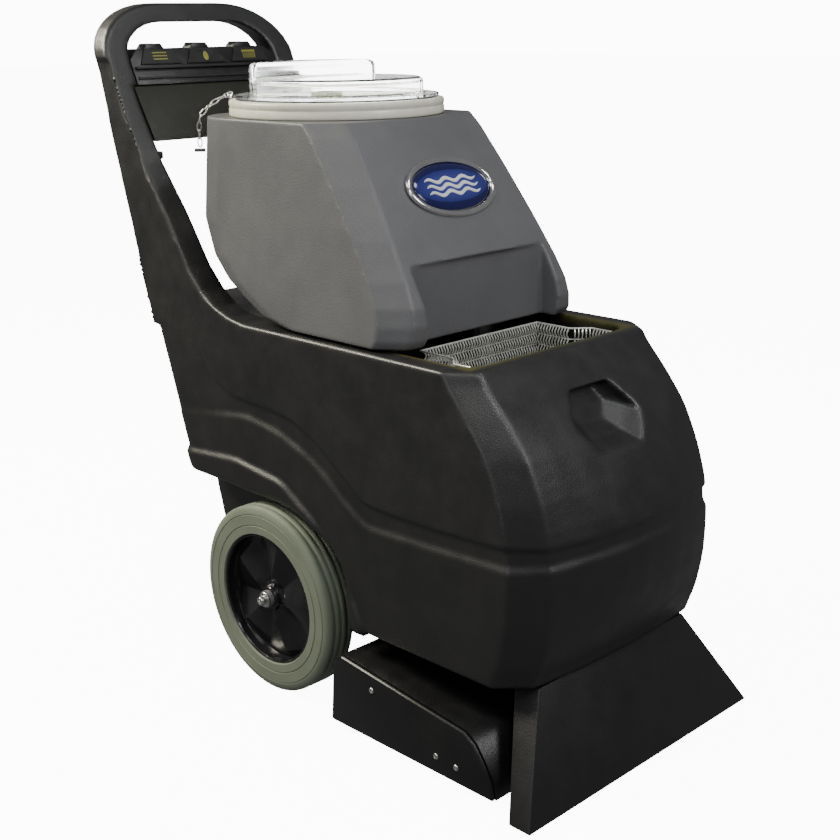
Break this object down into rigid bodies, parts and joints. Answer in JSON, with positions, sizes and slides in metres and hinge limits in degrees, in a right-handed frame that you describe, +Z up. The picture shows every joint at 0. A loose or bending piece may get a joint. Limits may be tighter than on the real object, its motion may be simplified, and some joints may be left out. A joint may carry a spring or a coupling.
{
  "type": "carpet cleaner machine",
  "caption": "Walk-behind self-contained carpet extractor: tub on two wheels, lift-off recovery tank under a clear lid, brush head, suction shoe and loop handle.",
  "frame": {"origin": "on the floor, under the middle of the machine's width and length", "axes": "+X to the right of someone facing the way the machine's handle points, +Y from the suction shoe to the handle, +Z up"},
  "size_m": [0.51, 1.041, 1.044],
  "materials": {
    "body_black": "fine-grained moulded polyethylene",
    "tank_grey": "fine-grained moulded polyethylene",
    "ring_cream": "satin",
    "clear_lid": "clear polished plastic",
    "tyre_grey": "matte non-marking rubber",
    "rim_black": "gloss",
    "steel": "bright zinc plate",
    "chrome": "polished",
    "badge_blue": "gloss enamel",
    "black_rubber": "matte",
    "bristle": "nylon bristle",
    "motor_metal": "cast",
    "hose_grey": "satin",
    "switch_black": "satin"
  },
  "bodies": {
    "machine": {"body_shell": "body_black", "console_panel": "body_black", "switch_housing": "body_black", "cord_hook_left": "body_black", "cord_hook_right": "body_black", "axle": "steel", "axle_washer_left": "steel", "axle_washer_right": "steel", "axle_nut_left": "steel", "axle_nut_right": "steel", "axle_spacer_left": "steel", "axle_spacer_right": "steel", "chassis_tray": "steel", "head_pivot_rod": "steel", "vacuum_shoe": "body_black", "suction_pipe": "hose_grey", "vacuum_motor": "motor_metal", "air_duct": "hose_grey", "solution_pump": "motor_metal", "solution_filter": "clear_lid", "power_inlet": "switch_black"},
    "wheel_left": {"tyre_left": "tyre_grey", "wheel_rim_left": "rim_black", "wheel_bush_left": "hose_grey"},
    "wheel_right": {"tyre_right": "tyre_grey", "wheel_rim_right": "rim_black", "wheel_bush_right": "hose_grey"},
    "rocker_suction": {"rocker_suction": "switch_black"},
    "rocker_spray": {"rocker_spray": "switch_black"},
    "rocker_brush": {"rocker_brush": "switch_black"},
    "tank": {"recovery_tank": "tank_grey", "lid_ring": "ring_cream", "lid_seal": "black_rubber", "badge_ring": "chrome", "badge_plate": "badge_blue", "chain_stud": "chrome", "lid_chain": "steel", "chain_hook": "steel", "suction_standpipe": "hose_grey", "air_standpipe": "hose_grey", "float_cage": "hose_grey", "drain_valve": "hose_grey"},
    "lid": {"lid_dome": "clear_lid"},
    "float": {"float_ball": "ring_cream"},
    "drain_lever": {"drain_lever": "hose_grey"},
    "basket": {"strainer_basket": "steel"},
    "brush_head": {"brush_housing": "body_black", "end_plate_left": "body_black", "end_plate_right": "body_black", "brush_bearing_left": "steel", "brush_bearing_right": "steel", "brush_motor": "motor_metal", "spray_bar": "hose_grey", "drive_belt": "black_rubber"},
    "brush": {"brush_roller": "bristle", "brush_shaft": "steel", "brush_pulley": "steel"},
    "motor_pulley": {"motor_pulley": "steel"}
  },
  "joints": [
    {"name": "wheel_left_spin", "type": "hinge", "parent": "machine", "child": "wheel_left", "pos_m": [-0.205, 0.0425, 0.15], "axis": [1, 0, 0], "continuous": true},
    {"name": "wheel_right_spin", "type": "hinge", "parent": "machine", "child": "wheel_right", "pos_m": [0.205, 0.0425, 0.15], "axis": [1, 0, 0], "continuous": true},
    {"name": "suction_switch", "type": "hinge", "parent": "machine", "child": "rocker_suction", "pos_m": [-0.092, 0.46425, 0.969], "axis": [1, 0, 0], "range_deg": [-10, 10]},
    {"name": "spray_switch", "type": "hinge", "parent": "machine", "child": "rocker_spray", "pos_m": [0, 0.46425, 0.969], "axis": [1, 0, 0], "range_deg": [-10, 10]},
    {"name": "brush_switch", "type": "hinge", "parent": "machine", "child": "rocker_brush", "pos_m": [0.092, 0.46425, 0.969], "axis": [1, 0, 0], "range_deg": [-10, 10]},
    {"name": "tank_lift", "type": "slide", "parent": "machine", "child": "tank", "axis": [0, 0, 1], "range_m": [0, 0.25]},
    {"name": "lid_lift", "type": "slide", "parent": "tank", "child": "lid", "axis": [0, 0, 1], "range_m": [0, 0.12]},
    {"name": "float_rise", "type": "slide", "parent": "tank", "child": "float", "axis": [0, 0, 1], "range_m": [0, 0.012]},
    {"name": "drain_turn", "type": "hinge", "parent": "tank", "child": "drain_lever", "pos_m": [0.06, 0.3145, 0.65], "axis": [0, 1, 0], "range_deg": [0, 90]},
    {"name": "basket_lift", "type": "slide", "parent": "machine", "child": "basket", "axis": [0, 0, 1], "range_m": [0, 0.11]},
    {"name": "head_float", "type": "hinge", "parent": "machine", "child": "brush_head", "pos_m": [0, -0.1155, 0.137], "axis": [-1, 0, 0], "range_deg": [0, 3.5]},
    {"name": "brush_spin", "type": "hinge", "parent": "brush_head", "child": "brush", "pos_m": [0, -0.2875, 0.05], "axis": [1, 0, 0], "continuous": true},
    {"name": "motor_spin", "type": "hinge", "parent": "brush_head", "child": "motor_pulley", "pos_m": [0.204, -0.1735, 0.064], "axis": [1, 0, 0], "continuous": true}
  ],
  "couplings": [
    {"joint": "motor_spin", "follows": "brush_spin", "ratio": 2}
  ]
}
